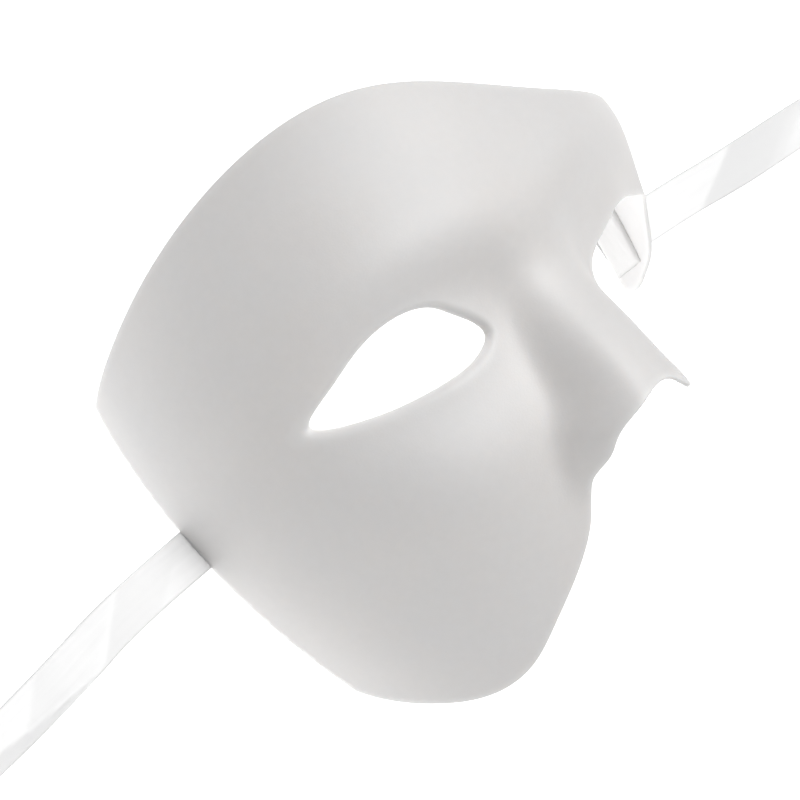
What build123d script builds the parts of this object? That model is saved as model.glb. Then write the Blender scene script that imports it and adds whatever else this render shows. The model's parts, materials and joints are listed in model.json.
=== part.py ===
"""Half-face masquerade mask with two satin tie ribbons, lying face up on a table.

Millimetres, +Z up. The mask rests on the back rim of its temples at z = 0.
+X is the wearer's left, +Y runs towards the forehead.
"""
from build123d import *
import math
import os

os.makedirs("parts", exist_ok=True)

# ---- head form that the shell is moulded on ----
TEMPLE_HALF_WIDTH = 78.0      # widest half breadth of the head form
TEMPLE_HEIGHT_LINE = 5.0      # height on the face where it is widest
FOREHEAD_NARROWING = 0.0050   # loss of half breadth above that line, per mm squared
CHEEK_NARROWING = 0.0025      # and below it
CROWN_DEPTH = 74.0            # head axis to the middle of the brow
CROWN_HEIGHT_LINE = 20.0      # height on the face where that depth is greatest
FOREHEAD_SLOPE = 0.0053       # loss of depth above that line, per mm squared
CHIN_SLOPE = 0.0016           # and below it
SECTION_SQUARENESS = 2.15     # 2 is an ellipse, more is squarer
ARC_RADIUS = 75.0             # "across" sizes are arcs on a circle of this radius

# ---- nose ----
NOSE_ROOT_HEIGHT = 7.5
NOSE_TIP_HEIGHT = -33.0
NOSE_ROOT_RISE = 4.5          # how far the root stands off the head form
NOSE_TIP_RISE = 18.0          # and how much further the tip does
NOSE_ROOT_HALF = 12.0         # half breadths
NOSE_TIP_HALF = 12.4
NOSE_WIDEST = 1.1             # the breadth stops growing this far down from root (0) to tip (1)
NOSE_RAMP_SOFTNESS = 12.0     # more is a sharper start at the root
NOSE_FLANK_POWER = 3.2        # 2 is a bell, more is a flatter ridge with steeper flanks
ROOT_FADES_AT = 31.0          # height where the root's own rise begins, going down
ROOT_FADE = 54.0              # and the height over which it builds up
UNDERSIDE_DROP = 7.0          # from the tip down to where the underside begins
UNDERSIDE_DEPTH = 14.0        # height over which the nose ends below that

# ---- rounded swellings of the face: rise, middle and spread across, middle and spread in height ----
NOSTRIL_WING = (6.0, 16.5, 5.5, -35.5, 9.5)
BROW = (3.8, 38.0, 36.0, 26.0, 14.0)
SOCKET = (-8.5, 34.0, 27.0, 2.5, 17.0)
EYELID = (6.5, 38.0, 14.0, 1.5, 11.0)
CHEEK = (4.0, 46.0, 24.0, -30.0, 20.0)
BROW_ARCH = 9.0               # drop of the brow's line at BROW_ARCH_HALF to either side
BROW_ARCH_HALF = 34.0
MIDLINE_SOFTNESS = 9.0        # rounds the swellings off where the two sides meet

# ---- shell ----
SHELL_THICKNESS = 1.2
REST_ROLL = 6.7               # how the head form leans when the rims lie on the table
REST_PITCH = 17.1
RIM_PLANE_DEPTH = 6.8         # head axis to the table
ORIGIN_SHIFT = 24.4           # along Y, so that the origin is under the middle of the mask
NORMAL_STEP = 0.4             # on the face, for the direction square to the skin

# ---- ribbons ----
RIBBON_WIDTH = 12.0
RIBBON_THICKNESS = 0.4
RIBBON_CLEARANCE = 0.15       # ribbon to the rim that passes over it
FOOT_CLEARANCE = 0.2          # ribbon to the glued layers inside the wall
RELIEF_MARGIN = 0.75          # relief in the rim, wider than the ribbon on each side
RELIEF_REACH = 10.0           # its cutter goes right through the leaning wall
TAB_LENGTH = 12.0             # glued end of the ribbon, up the inside of the wall
GLUE_THICKNESS = 0.3
GLUE_GAP = 0.05               # between layers that follow the same curved wall
PATCH_WIDTH = 18.0
PATCH_LENGTH = 14.0
PATCH_THICKNESS = 0.3
ROLL_RADIUS = 34.0            # outer turn of the ribbon's rolled length
ROLL_TURN_SPACING = 4.5       # from one turn to the next
ROLL_TURNS = 2
RUN_SHARE = 0.45              # of a run that an arc at its end may use

# Y where each ribbon passes under its rim, and the route of its middle line on the
# table from there, as X and Y distances from that place.
RIGHT_EXIT_Y = 1.0
RIGHT_STEPS = [(-26.0, -3.4), (-48.0, -9.0), (-74.0, -14.6), (-98.0, -17.6), (-122.0, -22.4)]
LEFT_EXIT_Y = 10.2
LEFT_STEPS = [(22.0, 0.5), (48.0, -0.4), (76.0, 0.3), (104.0, 0.0)]

# ---- edges of the mask, as (across, height) on the face ----
SHEET_ACROSS = (-152.0, 130.0)        # blank that the mask is trimmed from
SHEET_HEIGHT = (-97.0, 78.0)
SHEET_COLUMNS = 62
SHEET_ROWS = 44
STRIP_GRID = 6
WALL_START = 110.0                    # search for the foot of the wall: first try, steps, share of the miss
WALL_STEPS = 60
WALL_GAIN = 0.6
KNIFE_REACH = (0.85, 1.15)            # cutting surfaces run between these shares of the skin's distance
TOP_EDGE = [(-168, -6), (-150, 7), (-136, 19), (-121, 31), (-106, 42), (-80, 56.5), (-54, 64.4),
            (-30, 65.4), (-13, 61.5), (8, 52), (28, 42), (47.2, 33.8), (75, 23), (100, 9), (122, -9),
            (140, -24)]
CHEEK_EDGE = [(-168, -32), (-150, -48), (-129, -59), (-117, -67), (-104, -76), (-86, -83), (-66, -86.3),
              (-50, -83), (-38, -75), (-23.5, -63.5), (-15.6, -50.4)]
NOSE_EDGE = [(-15.4, -45.6), (-13.6, -41.6), (-11.9, -36.2), (-6.4, -31), (-1, -28.8), (3, -29.4), (7, -34),
             (10.5, -34), (12.5, -27), (13.5, -20)]
OPEN_EYE_EDGE = [(14, -10.5), (19, -1.5), (27, 3.3), (36, 6.8), (52, 5), (66, 1.5), (80, -5.5), (88, -17),
                 (97, -24.5), (103, -28), (109, -27.5), (121, -24), (140, -20)]
EYE_OPENING = [(-74, -2.4), (-65.8, 3.6), (-54.8, 9.8), (-44.2, 12.6), (-34.6, 10.8), (-29, 6.4), (-23.2, -2.2),
               (-27.4, -5), (-35.6, -6.8), (-48, -7), (-62.2, -6)]


def bell(t):
    return math.exp(-t * t)


def smooth_step(t):
    t = min(max(t, 0.0), 1.0)
    return t * t * (3 - 2 * t)


def head_radius(across, height):
    """Distance from the head's axis to the bare head form."""
    up = height - TEMPLE_HEIGHT_LINE
    half = TEMPLE_HALF_WIDTH - (FOREHEAD_NARROWING if up > 0 else CHEEK_NARROWING) * up * up
    up = height - CROWN_HEIGHT_LINE
    depth = CROWN_DEPTH - (FOREHEAD_SLOPE if up > 0 else CHIN_SLOPE) * up * up
    turn = across / ARC_RADIUS
    n = SECTION_SQUARENESS
    return ((abs(math.sin(turn)) / half) ** n + (abs(math.cos(turn)) / depth) ** n) ** (-1 / n)


def nose(side, height):
    ramp = (NOSE_ROOT_HEIGHT - height) / (NOSE_ROOT_HEIGHT - NOSE_TIP_HEIGHT)
    ramp = math.log1p(math.exp(NOSE_RAMP_SOFTNESS * ramp)) / NOSE_RAMP_SOFTNESS
    rise = NOSE_ROOT_RISE * smooth_step((ROOT_FADES_AT - height) / ROOT_FADE) + NOSE_TIP_RISE * ramp
    end = 1 - smooth_step((NOSE_TIP_HEIGHT - UNDERSIDE_DROP - height) / UNDERSIDE_DEPTH)
    half = NOSE_ROOT_HALF + (NOSE_TIP_HALF - NOSE_ROOT_HALF) * min(ramp, NOSE_WIDEST)
    return rise * end * math.exp(-(side / half) ** NOSE_FLANK_POWER)


def swelling(side, height, feature):
    rise, side_middle, side_spread, height_middle, height_spread = feature
    return rise * bell((side - side_middle) / side_spread) * bell((height - height_middle) / height_spread)


def face_point(across, height):
    """Outer skin of the mask in the head form's own frame."""
    side = math.hypot(across, MIDLINE_SOFTNESS)
    brow_line = height + BROW_ARCH * ((side - BROW_ARCH_HALF) / BROW_ARCH_HALF) ** 2
    r = head_radius(across, height) + nose(abs(across), height) + swelling(side, brow_line, BROW)
    for feature in (NOSTRIL_WING, SOCKET, EYELID, CHEEK):
        r += swelling(side, height, feature)
    turn = across / ARC_RADIUS
    return Vector(r * math.sin(turn), height, r * math.cos(turn))


def at_rest(p):
    """From the head form's frame to the mask lying on its rims."""
    roll, pitch = math.radians(REST_ROLL), math.radians(REST_PITCH)
    x = p.X * math.cos(roll) + p.Z * math.sin(roll)
    z = p.Z * math.cos(roll) - p.X * math.sin(roll)
    y = p.Y * math.cos(pitch) - z * math.sin(pitch)
    z = p.Y * math.sin(pitch) + z * math.cos(pitch)
    return Vector(x, y + ORIGIN_SHIFT, z + RIM_PLANE_DEPTH)


def skin(across, height, inwards=0.0):
    """A point on the shell at rest, so far inwards from its outer skin."""
    along = face_point(across + NORMAL_STEP, height) - face_point(across - NORMAL_STEP, height)
    up = face_point(across, height + NORMAL_STEP) - face_point(across, height - NORMAL_STEP)
    normal = along.cross(up).normalized()
    return at_rest(face_point(across, height) - normal * inwards)


def sheet(outline, depth_a, depth_b, columns, rows):
    """Closed solid between two depths below the skin; outline(i, j), from 0 to 1, gives across and height."""
    faces = []
    for depth in (depth_a, depth_b):
        grid = [[skin(*outline(i / columns, j / rows), depth) for i in range(columns + 1)]
                for j in range(rows + 1)]
        faces.append(Face.make_surface_from_array_of_points(grid, tol=0.05, min_deg=3))
    walls = []
    for edge in faces[0].edges():
        middle = edge.position_at(0.5)
        partner = min(faces[1].edges(), key=lambda e: (e.position_at(0.5) - middle).length)
        walls.append(Face.make_surface_from_curves(edge, partner))
    return Solid(Shell(faces + walls))


def knife(points, closed=False):
    """Surface that crosses the shell square to the head's axis along an edge of the mask."""
    edges = []
    for scale in KNIFE_REACH:
        line = []
        for across, height in points:
            p = face_point(across, height)
            line.append(at_rest(Vector(p.X * scale, p.Y, p.Z * scale)))
        edges.append(Edge.make_spline(line, periodic=closed))
    return Face.make_surface_from_curves(*edges)


def wall_at(side, y, z=0.0, inwards=0.0):
    """Across and height where a layer of the wall stands over (y, z) on that side (-1 right, +1 left)."""
    across, height = side * WALL_START, y - ORIGIN_SHIFT
    for _ in range(WALL_STEPS):
        p = skin(across, height, inwards)
        height += (y - p.Y) * WALL_GAIN
        across += side * (p.Z - z) * WALL_GAIN
    return across, height


def wall_strip(side, y, length, width, depth, thickness):
    """Layer on the inside of the wall, its foot just over the ribbon that passes under the rim at y."""
    lean = math.radians(REST_PITCH)
    foot_height = RIBBON_THICKNESS + FOOT_CLEARANCE
    feet = [wall_at(side, y + (k / STRIP_GRID - 0.5) * width, foot_height, depth + thickness)
            for k in range(STRIP_GRID + 1)]
    across, height = feet[STRIP_GRID // 2]
    stretch = (skin(across + 1, height) - skin(across - 1, height)).length / 2

    def outline(i, j):
        across, height = feet[round(j * STRIP_GRID)]
        up = i * length / stretch
        return across - side * up * math.cos(lean), height + up * math.sin(lean)

    return sheet(outline, depth, depth + thickness, STRIP_GRID, STRIP_GRID)


def mask_shell():
    (left, right), (low, high) = SHEET_ACROSS, SHEET_HEIGHT

    def outline(i, j):
        return left + (right - left) * i, low + (high - low) * j

    blank = sheet(outline, 0.0, SHELL_THICKNESS, SHEET_COLUMNS, SHEET_ROWS)
    shell = max(blank.split(Plane.XY, keep=Keep.ALL), key=lambda s: s.center().Z)
    shell = min(shell.split(knife(TOP_EDGE), keep=Keep.ALL), key=lambda s: s.center().Y)
    lower_edge = CHEEK_EDGE + NOSE_EDGE + OPEN_EYE_EDGE
    shell = max(shell.split(knife(lower_edge), keep=Keep.ALL), key=lambda s: s.center().Y)
    shell = max(shell.split(knife(EYE_OPENING, closed=True), keep=Keep.ALL), key=lambda s: s.volume)
    for side, y in ((-1, RIGHT_EXIT_Y), (1, LEFT_EXIT_Y)):
        x = skin(*wall_at(side, y)).X
        relief = Box(RELIEF_REACH, RIBBON_WIDTH + 2 * RELIEF_MARGIN,
                     2 * (RIBBON_THICKNESS + RIBBON_CLEARANCE))
        shell = shell - Pos(x, y, 0) * relief
    return shell


def ribbon_route(side, y, steps):
    """Points of the middle line of a ribbon on the table, from inside the rim outwards."""
    x = skin(*wall_at(side, y)).X
    inside = SHELL_THICKNESS + GLUE_THICKNESS + RIBBON_THICKNESS
    start = Vector(x - side * inside, y)
    return [start] + [Vector(x + dx, y + dy) for dx, dy in steps]


def ribbon_tail(route):
    """Flat band along straight runs joined by tangent arcs."""
    radii = []
    for before, point, after in zip(route, route[1:], route[2:]):
        turn = (point - before).get_angle(after - point)
        shorter = min((point - before).length, (after - point).length)
        radii.append(RUN_SHARE * shorter / math.tan(math.radians(turn) / 2))
    path = FilletPolyline(*route, radius=radii).moved(Pos(0, 0, RIBBON_THICKNESS / 2))
    print("tail length", round(path.length, 1), "radii", [round(r) for r in radii])
    start = Plane(origin=path.position_at(0), z_dir=(route[1] - route[0]).normalized(), x_dir=(0, 0, 1))
    band = sweep(start * Rectangle(RIBBON_THICKNESS, RIBBON_WIDTH), path=path)
    print("volume", round(band.volume, 1), "of", round(path.length * RIBBON_WIDTH * RIBBON_THICKNESS, 1))
    return band


def roll_disc(route, side, radius):
    """Upright disc centred on the rolled length, which stands on its edge where the tail ends."""
    heading = (route[-1] - route[-2]).normalized()
    middle = route[-1] + Vector(-heading.Y, heading.X) * (-side * ROLL_RADIUS)
    return Pos(middle.X, middle.Y, RIBBON_WIDTH / 2) * Cylinder(radius, RIBBON_WIDTH)


def write(shape, name):
    export_step(shape, "parts/" + name + ".step")


write(mask_shell(), "mask_shell")
sides = (("right", -1, RIGHT_EXIT_Y, RIGHT_STEPS), ("left", 1, LEFT_EXIT_Y, LEFT_STEPS))
for name, side, exit_y, steps in sides:
    route = ribbon_route(side, exit_y, steps)
    outside = roll_disc(route, side, ROLL_RADIUS + RIBBON_THICKNESS)
    hollow = roll_disc(route, side, ROLL_RADIUS - ROLL_TURNS * ROLL_TURN_SPACING - RIBBON_THICKNESS)
    write(ribbon_tail(route) - outside, name + "_ribbon_tail")
    write(outside - hollow, name + "_ribbon_roll")
    depth = SHELL_THICKNESS + GLUE_GAP
    write(wall_strip(side, exit_y, PATCH_LENGTH, PATCH_WIDTH, depth, GLUE_THICKNESS), name + "_glue_pad")
    depth += GLUE_THICKNESS + GLUE_GAP
    write(wall_strip(side, exit_y, TAB_LENGTH, RIBBON_WIDTH, depth, RIBBON_THICKNESS), name + "_ribbon_tab")
    depth += RIBBON_THICKNESS + GLUE_GAP
    write(wall_strip(side, exit_y, PATCH_LENGTH, PATCH_WIDTH, depth, PATCH_THICKNESS), name + "_patch")
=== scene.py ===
"""Half-face masquerade mask with two satin tie ribbons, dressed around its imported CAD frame."""
import json
import math

import bmesh
import bpy
import numpy as np
from bpy.props import FloatProperty, FloatVectorProperty, PointerProperty
from mathutils import Matrix, Vector
from mathutils.geometry import delaunay_2d_cdt


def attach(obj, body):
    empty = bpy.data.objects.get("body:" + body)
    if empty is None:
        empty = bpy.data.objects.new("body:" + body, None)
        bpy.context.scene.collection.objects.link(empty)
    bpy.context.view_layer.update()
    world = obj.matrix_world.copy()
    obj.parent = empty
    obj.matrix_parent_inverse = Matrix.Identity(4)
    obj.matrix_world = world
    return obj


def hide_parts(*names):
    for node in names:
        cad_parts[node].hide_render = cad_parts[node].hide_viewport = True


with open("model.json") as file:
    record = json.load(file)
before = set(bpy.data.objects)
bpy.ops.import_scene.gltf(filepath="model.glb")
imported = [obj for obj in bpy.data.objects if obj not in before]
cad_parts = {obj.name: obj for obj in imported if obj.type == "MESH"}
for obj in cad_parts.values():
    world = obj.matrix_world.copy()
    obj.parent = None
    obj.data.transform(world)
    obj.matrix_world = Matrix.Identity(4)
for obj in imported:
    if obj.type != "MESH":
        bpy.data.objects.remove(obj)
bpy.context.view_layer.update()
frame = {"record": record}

SLOT_COLOURS = {m["slot"]: m["base_color"][:3] for m in frame["record"]["materials"]}

bl_info = {
    "name": "Half-face mask",
    "version": (1, 0, 0),
    "blender": (4, 5, 0),
    "location": "3D View > Sidebar > Mask",
    "description": "Builds a moulded half-face mask, its satin ties and a small studio",
    "category": "Object",
}

MM = 0.001

# ---- head form that the shell is moulded on, in millimetres ----
TEMPLE_HALF_WIDTH = 78.0
TEMPLE_HEIGHT_LINE = 5.0
FOREHEAD_NARROWING = 0.0050
CHEEK_NARROWING = 0.0025
CROWN_DEPTH = 74.0
CROWN_HEIGHT_LINE = 20.0
FOREHEAD_SLOPE = 0.0053
CHIN_SLOPE = 0.0016
SECTION_SQUARENESS = 2.15
ARC_RADIUS = 75.0

NOSE_ROOT_HEIGHT = 7.5
NOSE_TIP_HEIGHT = -33.0
NOSE_ROOT_RISE = 4.5
NOSE_TIP_RISE = 18.0
NOSE_ROOT_HALF = 12.0
NOSE_TIP_HALF = 12.4
NOSE_WIDEST = 1.1
NOSE_RAMP_SOFTNESS = 12.0
NOSE_FLANK_POWER = 3.2
ROOT_FADES_AT = 31.0
ROOT_FADE = 54.0
UNDERSIDE_DROP = 7.0
UNDERSIDE_DEPTH = 14.0

# rise, middle and spread across, middle and spread in height
NOSTRIL_WING = (6.0, 16.5, 5.5, -35.5, 9.5)
BROW = (3.8, 38.0, 36.0, 26.0, 14.0)
SOCKET = (-8.5, 34.0, 27.0, 2.5, 17.0)
EYELID = (6.5, 38.0, 14.0, 1.5, 11.0)
CHEEK = (4.0, 46.0, 24.0, -30.0, 20.0)
BROW_ARCH = 9.0
BROW_ARCH_HALF = 34.0
MIDLINE_SOFTNESS = 9.0

REST_ROLL = math.radians(6.7)
REST_PITCH = math.radians(17.1)
RIM_PLANE_DEPTH = 6.8
ORIGIN_SHIFT = 24.4
NORMAL_STEP = 0.4

# ---- edges, as (across, height) on the face ----
TOP_EDGE = [(-168, -6), (-150, 7), (-136, 19), (-121, 31), (-106, 42), (-80, 56.5), (-54, 64.4),
            (-30, 65.4), (-13, 61.5), (8, 52), (28, 42), (47.2, 33.8), (75, 23), (100, 9), (122, -9),
            (140, -24)]
LOWER_EDGE = [(-168, -32), (-150, -48), (-129, -59), (-117, -67), (-104, -76), (-86, -83), (-66, -86.3),
              (-50, -83), (-38, -75), (-23.5, -63.5), (-15.6, -50.4), (-15.4, -45.6), (-13.6, -41.6),
              (-11.9, -36.2), (-6.4, -31), (-1, -28.8), (3, -29.4), (7, -34), (10.5, -34), (12.5, -27),
              (13.5, -20), (14, -10.5), (19, -1.5), (27, 3.3), (36, 6.8), (52, 5), (66, 1.5), (80, -5.5),
              (88, -17), (97, -24.5), (103, -28), (109, -27.5), (121, -24), (140, -20)]
EYE_OPENING = [(-74, -2.4), (-65.8, 3.6), (-54.8, 9.8), (-44.2, 12.6), (-34.6, 10.8), (-29, 6.4),
               (-23.2, -2.2), (-27.4, -5), (-35.6, -6.8), (-48, -7), (-62.2, -6)]
# where the lids begin to turn in, point for point with the opening
LID_LINE = [(-79.5, -3.4), (-67.2, 5.2), (-55.8, 12), (-43.8, 14.8), (-33.2, 12.6), (-26.8, 7.6),
            (-21, -2.6), (-26.6, -7.4), (-35.6, -9.2), (-48.4, -9.2), (-63.2, -8.2)]

# ---- ribbons: where each passes under its rim, and the line that it follows from there ----
RIBBON_WIDTH = 12.0
RIBBON_THICKNESS = 0.4
RIBBON_INSIDE = 1.9
RIBBONS = {
    "right": {
        "side": -1, "exit_y": 1.0, "turns": 2.0,
        "steps": [(-26.0, -3.4), (-48.0, -9.0), (-74.0, -14.6), (-98.0, -17.6), (-122.0, -22.4)],
    },
    "left": {
        "side": 1, "exit_y": 10.2, "turns": 2.1,
        "steps": [(22.0, 0.5), (48.0, -0.4), (76.0, 0.3), (104.0, 0.0)],
    },
}
ROLL_RADIUS = 34.0
ROLL_TURN_SPACING = 4.5
ROLL_POINTS = 14
ROLL_ROUNDING = 0.75
LYING_HEIGHT = 0.6 * RIBBON_THICKNESS
RIBBON_COLUMNS = 17
SELVEDGE_AT = 0.88
INSIDE_SELVEDGES = 0.8

# slanting creases: where each crosses the middle of its ribbon, its slant, its rise off the table,
# and how long the ribbon takes to rise to it and to fall from it
RIGHT_CREASE = {"at": 35.0, "slant": -1.5, "rise": 3.6, "before": 24.0, "after": 30.0}
LEFT_CREASE = {"at": 42.5, "slant": 1.75, "rise": 4.2, "before": 30.0, "after": 34.0}
CREASE_SOFTNESS = 0.03
FLAT_START = 14.0
FOLD_RISE = 1.9
WAVE_RISE = 0.8
WAVE_AT = 92.0
WAVE_SPREAD = 12.0

# ---- how finely the shell is divided ----
EDGE_STEP = 1.0
FACE_STEP = 1.3
NOSE_STEP = 0.9
ROW_STEP = 0.866
EDGE_CLEARANCE = 0.6
NOSE_AREA_HALF = 24.0
NOSE_AREA_HEIGHTS = (-56.0, 22.0)
LID_PLACES = 12
LID_ROWS = 8
RIM_ROWS = 5

# ---- searches for a place on the wall ----
SEARCH_STEPS = 60
SEARCH_SHARE = 0.6
WALL_GUESS = 110.0
RIM_GUESS = 120.0

# ---- edges of the shell ----
PALE_EDGE_WIDTH = 0.9
LID_PALE_GAP = 1.0
LID_RETURN = 0.8
LID_RETURN_SWELL = 0.3
RIM_PROBE = 0.3
RIM_LOW = 2.0
RIM_CUT_BACK = 0.55
RIM_CUT_FADE = 0.8

# ---- glued ends, in layers from the wall inwards ----
LAYER_PLACES = 26
LAYER_FOOT = 0.2
LAYER_ROUNDNESS = 10
LAYER_THIN_EDGE = 0.02
SETTLE_ROUNDNESS = 6
GLUE_GAP = 0.05
GLUE_THICKNESS = 0.3
GLUE_RIPPLE = 0.05
GLUE_LENGTH_SHARE = 0.86
GLUE_WIDTH_SHARE = 0.82
TAB_DEPTH = 0.35
TAB_RIPPLE = 0.03
PATCH_DEPTH = 0.8
PATCH_THICKNESS = 0.3
PATCH_RIPPLE = 0.05
PATCH_SETTLES = 0.8
# shade painted on the shell over each glued ribbon end: height of its middle, reach along and up the wall,
# sharpness, strength
GLUE_PAINTED_SHADE = [(6.0, (8.0, 9.0), 4, 0.35), (1.0, (3.2, 6.5), 2, 0.65)]

FLOOR_SQUARES = 16


# ---------------------------------------------------------------- the face as a surface

def bell(t):
    """1 at zero, fading on both sides."""
    return np.exp(-t * t)


def smooth_step(t):
    """From 0 to 1 while t goes from 0 to 1, level at both ends."""
    t = np.clip(t, 0.0, 1.0)
    return t * t * (3 - 2 * t)


def head_radius(across, height):
    """Distance from the head's axis to the bare head form."""
    up = height - TEMPLE_HEIGHT_LINE
    half = TEMPLE_HALF_WIDTH - np.where(up > 0, FOREHEAD_NARROWING, CHEEK_NARROWING) * up * up
    up = height - CROWN_HEIGHT_LINE
    depth = CROWN_DEPTH - np.where(up > 0, FOREHEAD_SLOPE, CHIN_SLOPE) * up * up
    turn = across / ARC_RADIUS
    n = SECTION_SQUARENESS
    return ((np.abs(np.sin(turn)) / half) ** n + (np.abs(np.cos(turn)) / depth) ** n) ** (-1 / n)


def nose(side, height):
    """How far the nose stands out of the head form."""
    ramp = (NOSE_ROOT_HEIGHT - height) / (NOSE_ROOT_HEIGHT - NOSE_TIP_HEIGHT)
    ramp = np.log1p(np.exp(NOSE_RAMP_SOFTNESS * ramp)) / NOSE_RAMP_SOFTNESS
    rise = NOSE_ROOT_RISE * smooth_step((ROOT_FADES_AT - height) / ROOT_FADE) + NOSE_TIP_RISE * ramp
    end = 1 - smooth_step((NOSE_TIP_HEIGHT - UNDERSIDE_DROP - height) / UNDERSIDE_DEPTH)
    half = NOSE_ROOT_HALF + (NOSE_TIP_HALF - NOSE_ROOT_HALF) * np.minimum(ramp, NOSE_WIDEST)
    return rise * end * np.exp(-(side / half) ** NOSE_FLANK_POWER)


def swelling(side, height, feature):
    """A soft rise or hollow, the same on both sides of the face."""
    rise, side_middle, side_spread, height_middle, height_spread = feature
    return rise * bell((side - side_middle) / side_spread) * bell((height - height_middle) / height_spread)


def face_point(across, height):
    """Outer skin of the mask in the head form's own frame, one row for each point."""
    side = np.hypot(across, MIDLINE_SOFTNESS)
    brow_line = height + BROW_ARCH * ((side - BROW_ARCH_HALF) / BROW_ARCH_HALF) ** 2
    r = head_radius(across, height) + nose(np.abs(across), height) + swelling(side, brow_line, BROW)
    for feature in (NOSTRIL_WING, SOCKET, EYELID, CHEEK):
        r = r + swelling(side, height, feature)
    turn = across / ARC_RADIUS
    return np.stack([r * np.sin(turn), height, r * np.cos(turn)], axis=-1)


def at_rest(p):
    """From the head form's frame to the mask lying on its rims."""
    x = p[..., 0] * math.cos(REST_ROLL) + p[..., 2] * math.sin(REST_ROLL)
    z = p[..., 2] * math.cos(REST_ROLL) - p[..., 0] * math.sin(REST_ROLL)
    y = p[..., 1] * math.cos(REST_PITCH) - z * math.sin(REST_PITCH)
    z = p[..., 1] * math.sin(REST_PITCH) + z * math.cos(REST_PITCH)
    return np.stack([x, y + ORIGIN_SHIFT, z + RIM_PLANE_DEPTH], axis=-1)


def skin(flat, inwards=0.0):
    """Points on the shell at rest for rows of (across, height), so far inwards from its outer skin."""
    across, height = flat[..., 0], flat[..., 1]
    along = face_point(across + NORMAL_STEP, height) - face_point(across - NORMAL_STEP, height)
    up = face_point(across, height + NORMAL_STEP) - face_point(across, height - NORMAL_STEP)
    normal = np.cross(along, up)
    normal /= np.linalg.norm(normal, axis=-1, keepdims=True)
    return at_rest(face_point(across, height) - normal * np.expand_dims(inwards * np.ones_like(across), -1))


def wall_at(side, y, z=0.0, inwards=0.0):
    """(across, height) where a layer of the wall stands over (y, z) on that side."""
    flat = np.array([side * WALL_GUESS, y - ORIGIN_SHIFT])
    for _ in range(SEARCH_STEPS):
        p = skin(flat, inwards)
        flat = flat + SEARCH_SHARE * np.array([side * (p[2] - z), y - p[1]])
    return flat


# ---------------------------------------------------------------- smooth lines

def second_slopes(knots, values, closed):
    """Second derivatives of the cubic spline through the values."""
    n = len(knots) - 1
    gap = np.diff(knots)
    if closed:
        a, b = np.zeros((n, n)), np.zeros((n, values.shape[1]))
        for i in range(n):
            h0, h1 = gap[i - 1], gap[i]
            a[i, i - 1] += h0
            a[i, i] += 2 * (h0 + h1)
            a[i, (i + 1) % n] += h1
            before = values[i - 1 if i else n - 1]
            b[i] = 6 * ((values[i + 1] - values[i]) / h1 - (values[i] - before) / h0)
        m = np.linalg.solve(a, b)
        return np.vstack([m, m[:1]])
    a, b = np.eye(n + 1), np.zeros((n + 1, values.shape[1]))
    for i in range(1, n):
        h0, h1 = gap[i - 1], gap[i]
        a[i, i - 1], a[i, i], a[i, i + 1] = h0, 2 * (h0 + h1), h1
        b[i] = 6 * ((values[i + 1] - values[i]) / h1 - (values[i] - values[i - 1]) / h0)
    return np.linalg.solve(a, b)


def smooth_line(points, closed=False, per_run=24):
    """Cubic spline through the points, the same number of places on every run."""
    values = np.array(points, float)
    if closed:
        values = np.vstack([values, values[:1]])
    knots = np.concatenate([[0], np.cumsum(np.linalg.norm(np.diff(values, axis=0), axis=1))])
    m = second_slopes(knots, values, closed)
    line = []
    for i in range(len(knots) - 1):
        h = knots[i + 1] - knots[i]
        t = np.linspace(0, h, per_run, endpoint=False)[:, None]
        line.append(values[i] + t * ((values[i + 1] - values[i]) / h - h * (2 * m[i] + m[i + 1]) / 6)
                    + t * t * m[i] / 2 + t ** 3 * (m[i + 1] - m[i]) / (6 * h))
    line = np.vstack(line)
    return line if closed else np.vstack([line, values[-1:]])


def lengths_along(line):
    """How far along the line each of its points is."""
    return np.concatenate([[0], np.cumsum(np.linalg.norm(np.diff(line, axis=0), axis=1))])


def evenly(line, step):
    """The same line with its points one step apart, both ends kept."""
    s = lengths_along(line)
    places = np.linspace(0, s[-1], max(2, int(round(s[-1] / step)) + 1))
    return np.stack([np.interp(places, s, line[:, k]) for k in range(line.shape[1])], axis=-1)


def against_loop(points, loop):
    """For each point, whether it is inside the closed loop, and its distance to it."""
    nearest = np.full(len(points), 1e9)
    crossings = np.zeros(len(points), int)
    for a, b in zip(loop, np.roll(loop, -1, axis=0)):
        d = b - a
        t = np.clip(((points - a) @ d) / max(d @ d, 1e-12), 0, 1)[:, None]
        nearest = np.minimum(nearest, np.linalg.norm(points - a - t * d, axis=1))
        if a[1] != b[1]:
            spans = (a[1] > points[:, 1]) != (b[1] > points[:, 1])
            crossings += spans & (points[:, 0] < a[0] + d[0] * (points[:, 1] - a[1]) / d[1])
    return crossings % 2 == 1, nearest


# ---------------------------------------------------------------- meshes

def mesh_piece(name, vertices, faces, attributes=None, smooth=True):
    """A mesh object, its vertices given in millimetres."""
    mesh = bpy.data.meshes.new(name)
    mesh.from_pydata((np.asarray(vertices) * MM).tolist(), [], faces)
    mesh.validate()
    for key, values in (attributes or {}).items():
        values = np.asarray(values, np.float32)
        kind, field = ("FLOAT", "value") if values.ndim == 1 else ("FLOAT_VECTOR", "vector")
        mesh.attributes.new(key, kind, "POINT").data.foreach_set(field, values.ravel())
    if smooth:
        mesh.polygons.foreach_set("use_smooth", [True] * len(mesh.polygons))
    mesh.update()
    piece = bpy.data.objects.new(name, mesh)
    bpy.context.scene.collection.objects.link(piece)
    return piece


def bridge(rows):
    """Faces between closed rows of vertex numbers."""
    faces = []
    for a, b in zip(rows, rows[1:]):
        n = len(a)
        faces += [(a[i], a[(i + 1) % n], b[(i + 1) % n], b[i]) for i in range(n)]
    return faces


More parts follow.
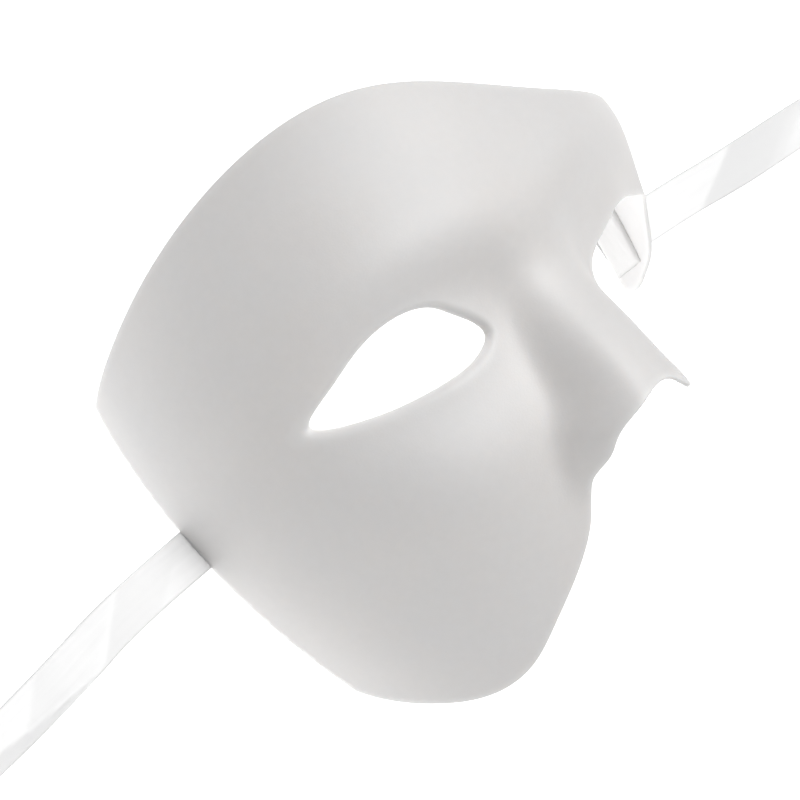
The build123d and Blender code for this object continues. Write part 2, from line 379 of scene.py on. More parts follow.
def sheet_faces(n, m):
    """Faces of a closed sheet: n rows of m vertices in front, as many behind, walls all round."""
    faces = []
    for i in range(n - 1):
        for j in range(m - 1):
            a = i * m + j
            faces.append((a, a + m, a + m + 1, a + 1))
            faces.append(tuple(n * m + k for k in (a, a + 1, a + m + 1, a + m)))
        for j in (0, m - 1):
            a = i * m + j
            wall = (a, a + m, n * m + a + m, n * m + a)
            faces.append(wall if j else wall[::-1])
    for j in range(m - 1):
        for i in (0, n - 1):
            a = i * m + j
            wall = (a, a + 1, n * m + a + 1, n * m + a)
            faces.append(wall[::-1] if i else wall)
    return faces


def face_outwards(piece):
    """Turns every face of a closed mesh the right way out."""
    form = bmesh.new()
    form.from_mesh(piece.data)
    bmesh.ops.remove_doubles(form, verts=form.verts, dist=1e-7)
    bmesh.ops.recalc_face_normals(form, faces=form.faces)
    form.to_mesh(piece.data)
    form.free()


def finish_piece(piece, material, slot, *nodes):
    """Gives a piece its material and its body, and hides the CAD nodes that it stands for; its slot is not
    used.
    """
    piece.data.materials.append(material)
    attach(piece, "root")
    for node in nodes:
        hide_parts(node)
    return piece


# ---------------------------------------------------------------- materials

class Wire:
    """A socket that can stand in a sum or a product."""

    def __init__(self, finish, socket):
        self.finish, self.socket = finish, socket

    def math(self, operation, *values):
        """A node that works on the values, wires or plain numbers."""
        return self.finish.node("ShaderNodeMath", {"operation": operation}, dict(enumerate(values)))

    def __add__(self, other):
        return self.math("ADD", self, other)

    __radd__ = __add__

    def __mul__(self, other):
        return self.math("MULTIPLY", self, other)

    __rmul__ = __mul__

    def __sub__(self, other):
        return self.math("SUBTRACT", self, other)


class Finish:
    """One material and the nodes that make it."""

    def __init__(self, name):
        self.material = bpy.data.materials.new(name)
        self.material.use_nodes = True
        self.tree = self.material.node_tree
        self.tree.nodes.clear()

    def node(self, kind, settings=None, sockets=None, output=0):
        """Any node: its settings first, then the values or wires of its sockets."""
        node = self.tree.nodes.new(kind)
        for key, value in (settings or {}).items():
            if key == "stops":
                ramp = node.color_ramp
                while len(ramp.elements) < len(value):
                    ramp.elements.new(1.0)
                for element, (place, shade) in zip(ramp.elements, value):
                    element.position = place
                    element.color = (shade, shade, shade, 1.0)
            else:
                setattr(node, key, value)
        for key, value in (sockets or {}).items():
            if isinstance(value, Wire):
                self.tree.links.new(value.socket, node.inputs[key])
            else:
                node.inputs[key].default_value = value
        return Wire(self, node.outputs[output]) if node.outputs else None

    def mix(self, factor, first, second):
        """Colour between two colours."""
        first, second = [c if isinstance(c, Wire) else (*c, 1.0) for c in (first, second)]
        return self.node("ShaderNodeMix", {"data_type": "RGBA"}, {0: factor, 6: first, 7: second}, 2)

    def place(self):
        """Where in the scene, in metres."""
        return self.node("ShaderNodeNewGeometry", output="Position")

    def attribute(self, name, output="Fac"):
        """A value that the mesh carries at each of its vertices."""
        return self.node("ShaderNodeAttribute", {"attribute_name": name}, output=output)

    def noise(self, scale, detail=3.0, vector=None):
        sockets = {"Vector": vector or self.place(), "Scale": scale, "Detail": detail, "Roughness": 0.55}
        return self.node("ShaderNodeTexNoise", None, sockets)

    def ramp(self, value, *stops):
        """Grey that follows a value; each stop is its place and its shade."""
        return self.node("ShaderNodeValToRGB", {"stops": stops}, {0: value})

    def bump(self, height, distance, strength=1.0, normal=None):
        sockets = {"Height": height, "Distance": distance, "Strength": strength}
        if normal:
            sockets["Normal"] = normal
        return self.node("ShaderNodeBump", None, sockets)

    def surface(self, **sockets):
        """Ends the material in a principled surface; names are the sockets' with underscores."""
        shader = self.node("ShaderNodeBsdfPrincipled", None,
                           {key.replace("_", " "): value for key, value in sockets.items()})
        self.node("ShaderNodeOutputMaterial", None, {"Surface": shader})
        return self.material


def moulded_white(colours):
    """Matt moulded shell: fine grain, broad unevenness, paler cut edges, painted shade over the glued
    ribbon ends.
    """
    f = Finish("moulded_white")
    cloud = f.ramp(f.noise(22.0, 2.0), (0.35, 0.0), (0.65, 1.0))
    fine = f.ramp(f.noise(420.0, 4.0), (0.3, 0.0), (0.7, 1.0))
    base = f.mix(cloud * 0.55, colours.shell, colours.shell_cool)
    base = f.mix(fine * 0.05, base, [0.6 * c for c in colours.shell])
    base = f.mix(f.attribute("cut_edge") * 0.6, base, colours.shell_edge)
    # painted shade: the shell is darkened where a glued ribbon end lies behind it
    base = f.mix(f.attribute("glue_behind") * 0.12, base, [0.62 * c for c in colours.shell])
    grain = f.bump(f.noise(1900.0, 3.0), 0.00006, 0.6)
    ripple = f.bump(f.noise(75.0, 2.0), 0.00022, 0.5, grain)
    return f.surface(Base_Color=base, Roughness=0.56 + 0.1 * cloud - 0.06 * fine, Normal=ripple,
                     Specular_IOR_Level=1.0, Subsurface_Weight=0.2,
                     Subsurface_Radius=(0.0012, 0.0011, 0.001), Subsurface_Scale=1.0)


def white_satin(colours):
    """Satin ribbon: floats along its length, denser selvedges, soft gloss, painted shade on its creased
    facets.
    """
    f = Finish("white_satin")
    weave = f.attribute("weave", "Vector")
    across = f.node("ShaderNodeSeparateXYZ", None, {0: weave}, 1)
    out = across.math("ABSOLUTE", across) * (2 / (RIBBON_WIDTH * MM))
    edge = f.ramp(out, (0.86, 0.0), (0.93, 1.0))
    stretched = f.node("ShaderNodeVectorMath", {"operation": "MULTIPLY"}, {0: weave, 1: (0.06, 1.0, 1.0)})
    floats = f.noise(5200.0, 2.0, vector=stretched)
    slubs = f.noise(600.0, 2.0, vector=stretched)
    base = f.mix(0.25 * f.ramp(slubs, (0.4, 0.0), (0.7, 1.0)), colours.ribbon, colours.ribbon_threads_and_shade)
    base = f.mix(0.35 * edge, base, colours.ribbon_threads_and_shade)
    # painted shade: facets turned from the light, and the sliver below the fold, are mixed towards the
    # darker thread colour
    base = f.mix(f.attribute("dull"), base, colours.ribbon_threads_and_shade)
    lines = f.bump(floats, 0.00005, 0.5)
    return f.surface(Base_Color=base, Roughness=0.34 + 0.14 * floats + 0.12 * edge,
                     Normal=f.bump(edge, 0.00006, 0.6, lines), Sheen_Weight=0.25, Sheen_Roughness=0.4,
                     Subsurface_Weight=0.4, Subsurface_Radius=(0.001, 0.001, 0.001), Subsurface_Scale=1.0)


def dried_glue(colours):
    """Hot glue, gone cloudy."""
    f = Finish("dried_glue")
    cloud = f.noise(260.0, 3.0)
    base = f.mix(cloud, colours.glue, [0.86 * c for c in colours.glue])
    lumps = f.bump(f.noise(340.0), 0.0003, 0.7)
    return f.surface(Base_Color=base, Roughness=0.2 + 0.2 * cloud, Normal=lumps,
                     Subsurface_Weight=0.2, Subsurface_Radius=(0.002, 0.0016, 0.001))


def cotton_patch(colours):
    """Plain woven tape, threads both ways."""
    f = Finish("cotton_patch")
    bands = {"Vector": f.attribute("weave", "Vector"), "Scale": 1500.0, "Distortion": 1.2, "Detail": 1.0}
    warp, weft = [f.node("ShaderNodeTexWave", {"bands_direction": way}, bands, 1) for way in ("X", "Y")]
    threads = warp * weft
    base = f.mix(threads, [0.95 * c for c in colours.patch], colours.patch)
    return f.surface(Base_Color=base, Roughness=0.78 + 0.12 * threads, Sheen_Weight=0.3,
                     Normal=f.bump(threads, 0.00003, 0.5))


def white_floor(studio):
    """Plain white ground that glows, as paper lit from below does, less far from the mask."""
    f = Finish("white_floor")
    distance = f.node("ShaderNodeVectorMath", {"operation": "LENGTH"}, {0: f.place()}, "Value")
    near = f.ramp(distance, (0.2, 1.0), (0.7, 0.0))
    glow = f.mix(near, [studio.far_glow] * 3, [1.0] * 3)
    return f.surface(Base_Color=(*studio.floor_colour, 1.0), Roughness=0.9, Specular_IOR_Level=0.1,
                     Emission_Color=glow, Emission_Strength=studio.floor_glow)


# ---------------------------------------------------------------- ribbons

def roll_route(tail, side, turns):
    """Points of the rolled length, going round and inwards from the end of the tail."""
    heading = (tail[-1] - tail[-2]) / np.linalg.norm(tail[-1] - tail[-2])
    middle = tail[-1] + np.array([-heading[1], heading[0]]) * (-side * ROLL_RADIUS)
    start = tail[-1] - middle
    angle = math.atan2(start[1], start[0])
    # the smooth curve cuts its corners, so the points stand a little outside the roll
    outside = (2 / (1 + math.cos(2 * math.pi / ROLL_POINTS))) ** ROLL_ROUNDING
    points = []
    for k in range(1, int(round(turns * ROLL_POINTS)) + 1):
        r = (ROLL_RADIUS - ROLL_TURN_SPACING * k / ROLL_POINTS) * outside
        a = angle - side * 2 * math.pi * k / ROLL_POINTS
        points.append(middle + r * np.array([math.cos(a), math.sin(a)]))
    return points


def ribbon_line(name, ribbon):
    """The ribbon's middle line as a smooth curve, in millimetres, its places 1 mm apart."""
    side, y = ribbon["side"], ribbon["exit_y"]
    foot = skin(wall_at(side, y))[0]
    tail = [np.array([foot - side * RIBBON_INSIDE, y])]
    tail += [np.array([foot + dx, y + dy]) for dx, dy in ribbon["steps"]]
    standing = RIBBON_WIDTH / 2
    route = [(*p, LYING_HEIGHT) for p in tail[:-1]] + [(*tail[-1], standing)]
    route += [(*p, standing) for p in roll_route(tail, side, ribbon["turns"])]
    curve = bpy.data.curves.new(name + "_route", "CURVE")
    curve.dimensions = "3D"
    spline = curve.splines.new("NURBS")
    spline.points.add(len(route) - 1)
    for point, place in zip(spline.points, route):
        point.co = (*(MM * c for c in place), 1.0)
    spline.order_u = 3
    spline.use_endpoint_u = True
    spline.resolution_u = 16
    holder = bpy.data.objects.new(name + "_route", curve)
    mesh = bpy.data.meshes.new_from_object(holder)
    line = np.array([v.co for v in mesh.vertices]) / MM
    bpy.data.objects.remove(holder)
    bpy.data.curves.remove(curve)
    bpy.data.meshes.remove(mesh)
    return evenly(line, 1.0)


def tent(u, before, after):
    """1 at zero, falling straight to 0 so far before and after it, its top a little rounded."""
    rise = np.minimum(1 + u / before, 1 - u / after)
    rise = rise - CREASE_SOFTNESS * np.log1p(np.exp((rise - 1) / CREASE_SOFTNESS))
    return np.clip(rise, 0, 1)


def past_crease(s, y, crease):
    """How far each place, s along the ribbon and y across it, is past the slanting crease."""
    return s - (crease["at"] + crease["slant"] * y)


def crease_lift(s, y, crease):
    """Lift of a ribbon off the table at its slanting crease; it starts flat under the rim."""
    lift = crease["rise"] * tent(past_crease(s, y, crease), crease["before"], crease["after"])
    return lift * smooth_step(s / FLAT_START)


def fold_line(s):
    """Where across the right ribbon its long fold runs; it draws away from the lower edge."""
    return -RIBBON_WIDTH / 2 + 4 * np.clip((s - 44) / 32, 0.02, 1.4)


def right_creases(s, y):
    """Lift of the right ribbon: its slanting crease, then the fold along its lower edge."""
    fold_at = fold_line(s)
    lower = np.clip((y + RIBBON_WIDTH / 2) / (fold_at + RIBBON_WIDTH / 2), 0, 1)
    upper = 1 - 0.5 * np.clip((y - fold_at) / RIBBON_WIDTH, 0, 1)
    fold = FOLD_RISE * lower * upper * smooth_step((s - 42) / 14) * smooth_step((150 - s) / 50)
    return crease_lift(s, y, RIGHT_CREASE) + fold


def right_painted_shade(s, y):
    """Painted shade on the right ribbon: before its crease, and below the fold."""
    before = smooth_step((s - 6) / 16) * smooth_step((1 - past_crease(s, y, RIGHT_CREASE)) / 2)
    below = smooth_step((fold_line(s) - y) / 0.8 + 0.5) * smooth_step((s - 46) / 10)
    return 0.55 * before + 0.9 * below


def left_creases(s, y):
    """Lift of the left ribbon: its slanting crease and a low wave after it."""
    return crease_lift(s, y, LEFT_CREASE) + WAVE_RISE * bell((s - WAVE_AT - y) / WAVE_SPREAD)


def left_painted_shade(s, y):
    """Painted shade on the left ribbon: past its crease, a little less further on."""
    past = past_crease(s, y, LEFT_CREASE)
    return smooth_step(past / 2 + 0.5) * (1 - 0.3 * smooth_step((past - 26) / 6))


def band_mesh(name, line, lift, facets):
    """Flat band that follows the line: lying down where the line is low, on its edge where it is high."""
    tangent = np.gradient(line, axis=0)
    tangent /= np.linalg.norm(tangent, axis=1, keepdims=True)
    flat = np.stack([-tangent[:, 1], tangent[:, 0], 0 * tangent[:, 0]], axis=1)
    flat /= np.linalg.norm(flat, axis=1, keepdims=True)
    up = np.clip((line[:, 2] - LYING_HEIGHT) / (RIBBON_WIDTH / 2 - LYING_HEIGHT), 0, 1)
    level = np.sqrt(1 - up * up)
    rise = np.array([0, 0, 1.0])
    width = flat * level[:, None] + rise * up[:, None]
    face = np.cross(tangent, width)
    s = lengths_along(line)[:, None]
    t = np.linspace(-RIBBON_WIDTH / 2, RIBBON_WIDTH / 2, RIBBON_COLUMNS)
    selvedge = np.abs(t) > SELVEDGE_AT * RIBBON_WIDTH / 2
    thick = np.where(selvedge, 1.0, INSIDE_SELVEDGES) * RIBBON_THICKNESS / 2
    y = t[None, :] * np.sign(flat[:, 1:2])
    raised = lift(s, y) * (level ** 2)[:, None]
    # painted shade on the facets, faded out where the ribbon stands on its edge
    dull = (facets(s, y) * (1 - up[:, None])).ravel()
    middle = line[:, None] + width[:, None] * t[None, :, None] + rise * raised[..., None]
    half = face[:, None] * thick[None, :, None]
    places = np.vstack([(middle + half).reshape(-1, 3), (middle - half).reshape(-1, 3)])
    weave = np.stack(np.broadcast_arrays(s * MM, t[None, :] * MM, 0.0), axis=-1).reshape(-1, 3)
    return mesh_piece(name, places, sheet_faces(len(line), RIBBON_COLUMNS), {
        "weave": np.vstack([weave, weave]), "dull": np.concatenate([dull, dull])})


def make_ribbon(name, ribbon, lift, facets, material):
    """One ribbon, from under the rim to the end of its roll."""
    line = ribbon_line(name, ribbon)
    piece = finish_piece(band_mesh(name + "_ribbon", line, lift, facets), material, "satin_ribbon",
                         name + "_ribbon_tail", name + "_ribbon_roll")
    foot = skin(wall_at(ribbon["side"], ribbon["exit_y"]))[0]
    return piece


# ---------------------------------------------------------------- shell

def table_line(side, heights):
    """Where the outer skin meets the table on that side, as (across, height)."""
    flat = np.stack([np.full(len(heights), side * RIM_GUESS), heights], axis=1)
    for _ in range(SEARCH_STEPS):
        flat[:, 0] += side * SEARCH_SHARE * skin(flat)[:, 2]
    return flat


def above_table(line):
    """The stretch of an edge that stands above the table, its two ends on the table."""
    z = skin(line)[:, 2]
    over = np.flatnonzero(z > 0)
    first, last = over[0], over[-1]
    share = z[first] / (z[first] - z[first - 1])
    start = line[first] + share * (line[first - 1] - line[first])
    share = z[last] / (z[last] - z[last + 1])
    end = line[last] + share * (line[last + 1] - line[last])
    return np.vstack([start, line[first:last + 1], end])


def shell_outline(step):
    """The mask's cut edge as one closed loop of (across, height)."""
    top, lower = above_table(smooth_line(TOP_EDGE)), above_table(smooth_line(LOWER_EDGE))
    left = table_line(1, np.linspace(top[-1, 1], lower[-1, 1], 60))
    right = table_line(-1, np.linspace(lower[0, 1], top[0, 1], 90))
    runs = [evenly(run, step)[:-1] for run in (top, left, lower[::-1], right)]
    return np.vstack(runs)


def scattered(loop, hole, coarse, fine):
    """Even points inside the loop and outside the hole, closer together over the nose."""
    low, high = loop.min(axis=0), loop.max(axis=0)
    kept = []
    for step, near_nose in ((coarse, False), (fine, True)):
        rows = np.arange(low[1], high[1], step * ROW_STEP)
        grid = np.array([(x + 0.5 * step * (k % 2), y) for k, y in enumerate(rows)
                         for x in np.arange(low[0], high[0], step)])
        bottom, top = NOSE_AREA_HEIGHTS
        over_nose = (np.abs(grid[:, 0]) < NOSE_AREA_HALF) & (grid[:, 1] > bottom) & (grid[:, 1] < top)
        grid = grid[over_nose == near_nose]
        inside, gap = against_loop(grid, loop)
        in_hole, hole_gap = against_loop(grid, hole)
        clear = np.minimum(gap, hole_gap) > EDGE_CLEARANCE * step
        kept.append(grid[inside & ~in_hole & clear])
    return np.vstack(kept)


def triangles(loop, hole, points):
    """Flat triangles over the face: their corners, their faces, and which corners each loop has."""
    flat = np.vstack([loop, hole, points])
    n, m = len(loop), len(hole)
    edges = [(i, (i + 1) % n) for i in range(n)] + [(n + i, n + (i + 1) % m) for i in range(m)]
    places, _, faces, sources, _, _ = delaunay_2d_cdt([Vector(p) for p in flat], edges, [], 1, 1e-5)
    places = np.array([tuple(p) for p in places])
    found = {source: k for k, group in enumerate(sources) for source in group}
    middles = np.array([places[list(f)].mean(axis=0) for f in faces])
    in_hole, _ = against_loop(middles, hole)
    faces = [tuple(f) for f, out in zip(faces, in_hole) if not out]
    return places, faces, [found[i] for i in range(n)], [found[n + i] for i in range(m)]


def outwards(loop):
    """Unit direction out of a closed loop, at each of its points."""
    d = np.roll(loop, -1, axis=0) - np.roll(loop, 1, axis=0)
    n = np.stack([-d[:, 1], d[:, 0]], axis=1)
    area = np.sum(loop[:, 0] * np.roll(loop[:, 1], -1) - loop[:, 1] * np.roll(loop[:, 0], -1))
    return n / np.linalg.norm(n, axis=1, keepdims=True) * (-1 if area > 0 else 1)


def glue_shadow(places):
    """How much painted shade each place on the shell gets where it lies over a glued ribbon end."""
    dark = np.zeros(len(places))
    for ribbon in RIBBONS.values():
        for height, reach, sharpness, strength in GLUE_PAINTED_SHADE:
            away = (places - wall_at(ribbon["side"], ribbon["exit_y"], height)) / reach
            dark += strength * np.exp(-np.sum(away ** sharpness, axis=1))
    return np.clip(dark, 0, 1)


def rest_on_table(vertices):
    """Keeps the rim flat on the table, and cut back a little where a ribbon passes under it."""
    floor = np.zeros(len(vertices))
    for ribbon in RIBBONS.values():
        near = (vertices[:, 0] * ribbon["side"] > 0) & (vertices[:, 2] < RIM_LOW)
        gap = np.abs(vertices[:, 1] - ribbon["exit_y"]) - RIBBON_WIDTH / 2
        floor += near * RIM_CUT_BACK * smooth_step(1 - gap / RIM_CUT_FADE)
    vertices[:, 2] = np.maximum(vertices[:, 2], floor)
    return vertices


def shell_mesh(name, shape):
    """Outer skin, inner skin, a rounded rim between them and lids that turn in round the eye."""
    thick, lip = shape.thickness / MM, shape.lid_depth / MM
    loop = shell_outline(EDGE_STEP)
    lid, opening = (smooth_line(line, True, LID_PLACES) for line in (LID_LINE, EYE_OPENING))
    places, faces, rim, eye = triangles(loop, lid, scattered(loop, lid, FACE_STEP, NOSE_STEP))
    count = len(places)
    _, edge_gap = against_loop(places, loop)
    _, lid_gap = against_loop(places, lid)
    near_edge = bell(np.minimum(edge_gap, lid_gap + LID_PALE_GAP) / PALE_EDGE_WIDTH)
    vertices = [skin(places), skin(places, thick)]
    cut_edge = [near_edge, near_edge]
    # weights of the painted shade over the glued ends, the same on both skins; the rim and lid rows get
    # none
    glue = [glue_shadow(places)] * 2
    solid = faces + [tuple(count + k for k in reversed(f)) for f in faces]
    total = 2 * count

    def add_row(points, edge):
        """Adds one closed row of vertices and gives their numbers."""
        nonlocal total
        vertices.append(points)
        cut_edge.append(np.full(len(points), edge))
        glue.append(np.zeros(len(points)))
        total += len(points)
        return list(range(total - len(points), total))

    # half a turn round the cut edge, from the outer skin to the inner one
    outer, inner = skin(loop), skin(loop, thick)
    middle, half = (outer + inner) / 2, (outer - inner) / 2
    away = skin(loop + RIM_PROBE * outwards(loop), thick / 2) - skin(loop, thick / 2)
    away *= shape.rim_roundness / MM / np.linalg.norm(away, axis=1, keepdims=True)
    rows = [rim]
    for turn in np.linspace(0, math.pi, RIM_ROWS + 2)[1:-1]:
        rows.append(add_row(middle + half * math.cos(turn) + away * math.sin(turn), 1.0))
    solid += bridge(rows + [[count + k for k in rim]])

    # a quarter turn in round the eye, then the lids' own cut edge back under them
    outwards_from_eye = (lid - opening) / np.linalg.norm(lid - opening, axis=1, keepdims=True)
    rows = [eye]
    for v in np.linspace(0, 1, LID_ROWS + 1)[1:]:
        flat = lid + (opening - lid) * math.sin(v * math.pi / 2)
        rows.append(add_row(skin(flat, lip * (1 - math.cos(v * math.pi / 2))), 0.25 + 0.4 * v))
    for v in (0.3, 0.7, 1.0):
        flat = opening + outwards_from_eye * LID_RETURN * thick * v
        rows.append(add_row(skin(flat, lip + LID_RETURN_SWELL * math.sin(v * math.pi)), 0.8))
    solid += bridge(rows + [[count + k for k in eye]])
    vertices = rest_on_table(np.vstack(vertices))
    piece = mesh_piece(name, vertices, solid, {
        "cut_edge": np.concatenate(cut_edge), "glue_behind": np.concatenate(glue)})
    face_outwards(piece)
    return piece


# ---------------------------------------------------------------- glued ends inside the temples

def wall_layer(name, ribbon, length, width, depth, thickness, ripple, settles=0.0):
    """A thin layer inside the wall, so deep in from its outer skin, its border thinned and settled."""
    side, y, n = ribbon["side"], ribbon["exit_y"], LAYER_PLACES
    feet = np.array([wall_at(side, y + over, RIBBON_THICKNESS + LAYER_FOOT, depth + thickness)
                     for over in np.linspace(-width / 2, width / 2, n)])
    lean = np.array([-side * math.cos(REST_PITCH), math.sin(REST_PITCH)])
    flat = feet[:, None] + np.linspace(0, length, n)[None, :, None] * lean
    a, b = np.linspace(-1, 1, n)[:, None], np.linspace(-1, 1, n)[None, :]
    out = np.maximum(np.abs(a), np.abs(b))
    border = np.sqrt(np.clip(1 - out ** LAYER_ROUNDNESS, LAYER_THIN_EDGE, 1))
    # low ripples, as pressed by hand
    wave = ripple * (np.sin(9 * a + 2 * b) * np.sin(7 * b - a) + 0.6 * np.sin(17 * b + 5 * a))
    depth = depth - settles * (1 - np.sqrt(1 - out ** SETTLE_ROUNDNESS))
    front, behind = skin(flat, depth + (thickness + wave) * border), skin(flat, depth)
    places = np.vstack([front.reshape(-1, 3), behind.reshape(-1, 3)])
    weave = np.stack(np.broadcast_arrays(b * length * MM / 2, a * width * MM / 2, 0.0), axis=-1)
    weave = np.vstack([weave.reshape(-1, 3)] * 2)
    piece = mesh_piece(name, places, sheet_faces(n, n), {"weave": weave})
    face_outwards(piece)
    return piece


# ---------------------------------------------------------------- settings

def length_property(name, description, default, least):
    return FloatProperty(name=name, description=description, default=default, min=least, unit="LENGTH")


def colour_property(name, description, default):
    return FloatVectorProperty(name=name, description=description, default=default, size=3,
                               min=0.0, max=1.0, subtype="COLOR")


def angle_property(name, description, degrees):
    return FloatProperty(name=name, description=description, default=math.radians(degrees), subtype="ANGLE")


class HalfMaskShape(bpy.types.PropertyGroup):
    """Sizes of the moulded shell and its fittings"""
    thickness: length_property("Shell thickness", "Wall of the moulded shell", 0.0012, 0.0005)
    rim_roundness: length_property("Rim roundness", "How far the cut edge swells outwards", 0.0003, 0.0)
    lid_depth: length_property("Lid depth", "How deep the lids turn in round the eye opening",
                               0.0024, 0.0014)
    tab_length: length_property("Ribbon tab", "Glued length of each ribbon inside its temple", 0.012, 0.004)
    patch_length: length_property("Patch length", "Cloth patch over the glued end, up the wall",
                                  0.014, 0.004)
    patch_width: length_property("Patch width", "Cloth patch over the glued end, along the rim",
                                 0.018, 0.004)


class HalfMaskColours(bpy.types.PropertyGroup):
    """Colours of the mask and its ties"""
    shell: colour_property("Shell", "Matt white of the moulded shell", (0.76, 0.745, 0.735))
    shell_cool: colour_property("Shell, cool patches", "The cooler white that clouds over the shell",
                                (0.745, 0.745, 0.75))
    shell_edge: colour_property("Cut edges", "Paler white along the cut edges", (0.86, 0.86, 0.855))
    ribbon: colour_property("Ribbon", "White satin", (0.89, 0.89, 0.89))
    # one colour for the darker threads between the floats and at the selvedges, and for the painted shade
    # on the ribbon's facets
    ribbon_threads_and_shade: colour_property("Ribbon, shaded threads", "Satin between its floats and on dull facets",
                                  (0.78, 0.78, 0.78))
    glue: colour_property("Glue", "Dried glue", SLOT_COLOURS["glue"])
    patch: colour_property("Patch", "Cotton patch", (0.84, 0.835, 0.83))


class HalfMaskStudio(bpy.types.PropertyGroup):
    """Camera, lights and floor"""
    azimuth: angle_property("Azimuth", "Camera's direction round the object", -83.886)
    elevation: angle_property("Elevation", "Camera's height angle", 59.77)
    roll: angle_property("Roll", "Camera's turn about its own line of sight", 50.54)
    distance: length_property("Distance", "Camera to the place that it looks at", 0.9, 0.1)
    target: FloatVectorProperty(name="Looks at", description="Place in the middle of the view", size=3,
                                default=(-0.02581, 0.00259, 0.03994), subtype="TRANSLATION", unit="LENGTH")
    lens: FloatProperty(name="Lens", description="Focal length in millimetres", default=164.2, min=10.0)
    floor_colour: colour_property("Floor", "White ground", (0.15, 0.15, 0.15))
    floor_glow: FloatProperty(name="Floor glow", description="Light that the ground gives of itself",
                              default=1.6, min=0.0)
    far_glow: FloatProperty(name="Far floor", description="Share of that light far from the mask",
                            default=0.5, min=0.0, max=1.0)
    floor_size: length_property("Floor size", "Side of the ground", 6.0, 0.5)
    sky: FloatProperty(name="Room light", description="Even light from all round", default=0.14, min=0.0)


# ---------------------------------------------------------------- steps

def turned_camera(studio):
    """Camera's place and turn, from its angles round the place that it looks at."""
    a, e, r = studio.azimuth, studio.elevation, studio.roll
    back = Vector((math.sin(a) * math.cos(e), -math.cos(a) * math.cos(e), math.sin(e)))
    level = Vector((math.cos(a), math.sin(a), 0.0))
    rise = back.cross(level)
    right = math.cos(r) * level + math.sin(r) * rise
    up = -math.sin(r) * level + math.cos(r) * rise
    turn = Matrix((right, up, back)).transposed().to_4x4()
    return Matrix.Translation(Vector(studio.target) + studio.distance * back) @ turn


def floor_mesh(name, size):
    """Level ground of even squares."""
    ticks = np.linspace(-size / 2, size / 2, FLOOR_SQUARES + 1)
    row = len(ticks)
    places = [(x, y, 0) for y in ticks for x in ticks]
    faces = [(k, k + 1, k + row + 1, k + row) for k in range(row * (row - 1)) if (k + 1) % row]
    return mesh_piece(name, places, faces)


# name, place in metres, side in metres, watts
SOFT_LIGHTS = [
    ("key_light", (0.22, 0.08, 1.45), 1.1, 19.5),
]


class HALFMASK_OT_stage(bpy.types.Operator):
    """Places the camera, the soft lights and the white ground"""
    bl_idname = "halfmask.stage"
    bl_label = "Studio"

    def execute(self, context):
        scene, studio = context.scene, context.scene.half_mask_studio
        camera = bpy.data.objects.new("camera", bpy.data.cameras.new("camera"))
        camera.data.lens = studio.lens
        camera.data.clip_end = 50.0
        camera.matrix_world = turned_camera(studio)
        scene.collection.objects.link(camera)
        scene.camera = camera
        scene.view_settings.view_transform = "Standard"
        middle = Vector(studio.target)
        for name, place, side, watts in SOFT_LIGHTS:
            lamp = bpy.data.lights.new(name, "AREA")
            lamp.shape, lamp.size, lamp.energy = "SQUARE", side, watts
            light = bpy.data.objects.new(name, lamp)
            light.location = place
            light.rotation_euler = (Vector(place) - middle).to_track_quat("Z", "Y").to_euler()
            scene.collection.objects.link(light)
        world = bpy.data.worlds.new("room")
        world.use_nodes = True
        background = world.node_tree.nodes["Background"]
        background.inputs["Color"].default_value = (1.0, 1.0, 1.0, 1.0)
        background.inputs["Strength"].default_value = studio.sky
        scene.world = world
        floor = floor_mesh("floor", studio.floor_size / MM)
        floor.data.materials.append(white_floor(studio))
        return {"FINISHED"}


class HALFMASK_OT_ribbons(bpy.types.Operator):
    """Lays the two satin ribbons out from under the temples and rolls up their ends"""
    bl_idname = "halfmask.ribbons"
    bl_label = "Satin ribbons"

    def execute(self, context):
        satin = white_satin(context.scene.half_mask_colours)
        make_ribbon("right", RIBBONS["right"], right_creases, right_painted_shade, satin)
        make_ribbon("left", RIBBONS["left"], left_creases, left_painted_shade, satin)
        return {"FINISHED"}


class HALFMASK_OT_shell(bpy.types.Operator):
    """Moulds the shell of the mask with its turned-in lids and rounded cut edge"""
    bl_idname = "halfmask.shell"
    bl_label = "Moulded shell"

    def execute(self, context):
        scene = context.scene
        piece = shell_mesh("moulded_shell", scene.half_mask_shape)
        finish_piece(piece, moulded_white(scene.half_mask_colours), "moulded_shell", "mask_shell")
        return {"FINISHED"}


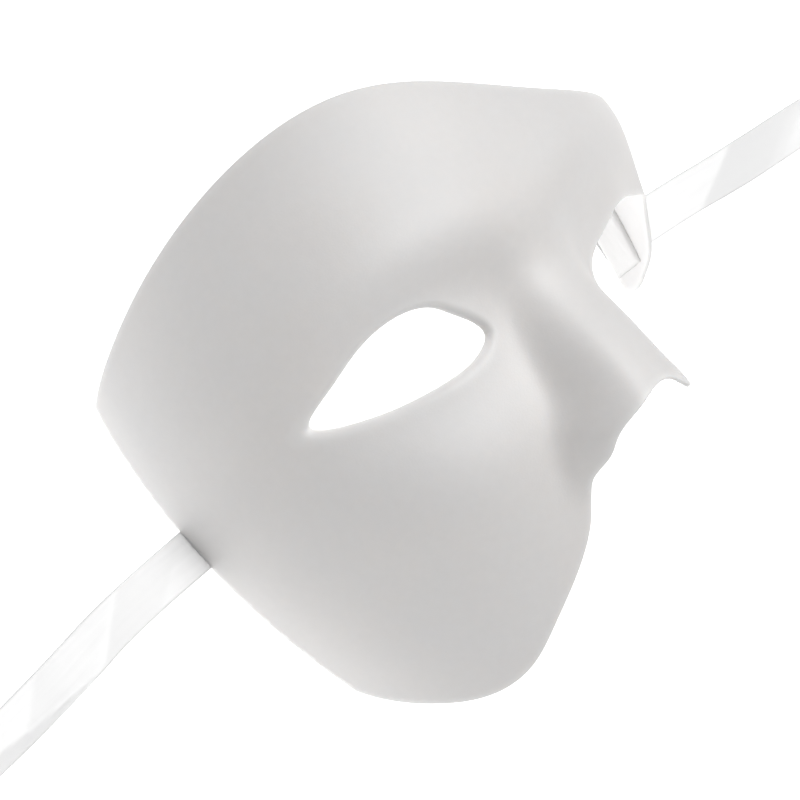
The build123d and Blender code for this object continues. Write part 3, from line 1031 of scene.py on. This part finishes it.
class HALFMASK_OT_glued_ends(bpy.types.Operator):
    """Sets the glue, the ribbon's glued end and the cloth patch inside each temple"""
    bl_idname = "halfmask.glued_ends"
    bl_label = "Glued ribbon ends"

    def execute(self, context):
        shape, colours = context.scene.half_mask_shape, context.scene.half_mask_colours
        tab, length, width = shape.tab_length / MM, shape.patch_length / MM, shape.patch_width / MM
        glue, satin, cotton = dried_glue(colours), white_satin(colours), cotton_patch(colours)
        wall = shape.thickness / MM + GLUE_GAP
        for name, ribbon in RIBBONS.items():
            pad = wall_layer(name + "_glue", ribbon, GLUE_LENGTH_SHARE * length, GLUE_WIDTH_SHARE * width,
                             wall, GLUE_THICKNESS, GLUE_RIPPLE)
            finish_piece(pad, glue, "glue", name + "_glue_pad")
            end = wall_layer(name + "_tab", ribbon, tab, RIBBON_WIDTH,
                             wall + TAB_DEPTH, RIBBON_THICKNESS, TAB_RIPPLE)
            finish_piece(end, satin, "satin_ribbon", name + "_ribbon_tab")
            cloth = wall_layer(name + "_cloth_patch", ribbon, length, width,
                               wall + PATCH_DEPTH, PATCH_THICKNESS, PATCH_RIPPLE, PATCH_SETTLES)
            finish_piece(cloth, cotton, "patch_fabric", name + "_patch")
        return {"FINISHED"}


class HALFMASK_PT_panel(bpy.types.Panel):
    """Steps and settings of the mask"""
    bl_idname = "HALFMASK_PT_panel"
    bl_label = "Half-face mask"
    bl_space_type = "VIEW_3D"
    bl_region_type = "UI"
    bl_category = "Mask"

    def draw(self, context):
        for step in STEPS:
            self.layout.operator(step.bl_idname)
        for name, group in SETTINGS.items():
            box = self.layout.box()
            for key in group.__annotations__:
                box.prop(getattr(context.scene, name), key)


SETTINGS = {"half_mask_shape": HalfMaskShape, "half_mask_colours": HalfMaskColours,
            "half_mask_studio": HalfMaskStudio}
STEPS = (HALFMASK_OT_stage, HALFMASK_OT_ribbons, HALFMASK_OT_shell, HALFMASK_OT_glued_ends)


def register():
    for cls in (*SETTINGS.values(), *STEPS, HALFMASK_PT_panel):
        bpy.utils.register_class(cls)
    for name, group in SETTINGS.items():
        setattr(bpy.types.Scene, name, PointerProperty(type=group))


def unregister():
    for name in SETTINGS:
        delattr(bpy.types.Scene, name)
    for cls in (HALFMASK_PT_panel, *reversed(STEPS), *reversed(SETTINGS.values())):
        bpy.utils.unregister_class(cls)


def main():
    register()
    bpy.ops.halfmask.stage()
    bpy.ops.halfmask.ribbons()
    bpy.ops.halfmask.shell()
    bpy.ops.halfmask.glued_ends()


if __name__ == "__main__":
    main()
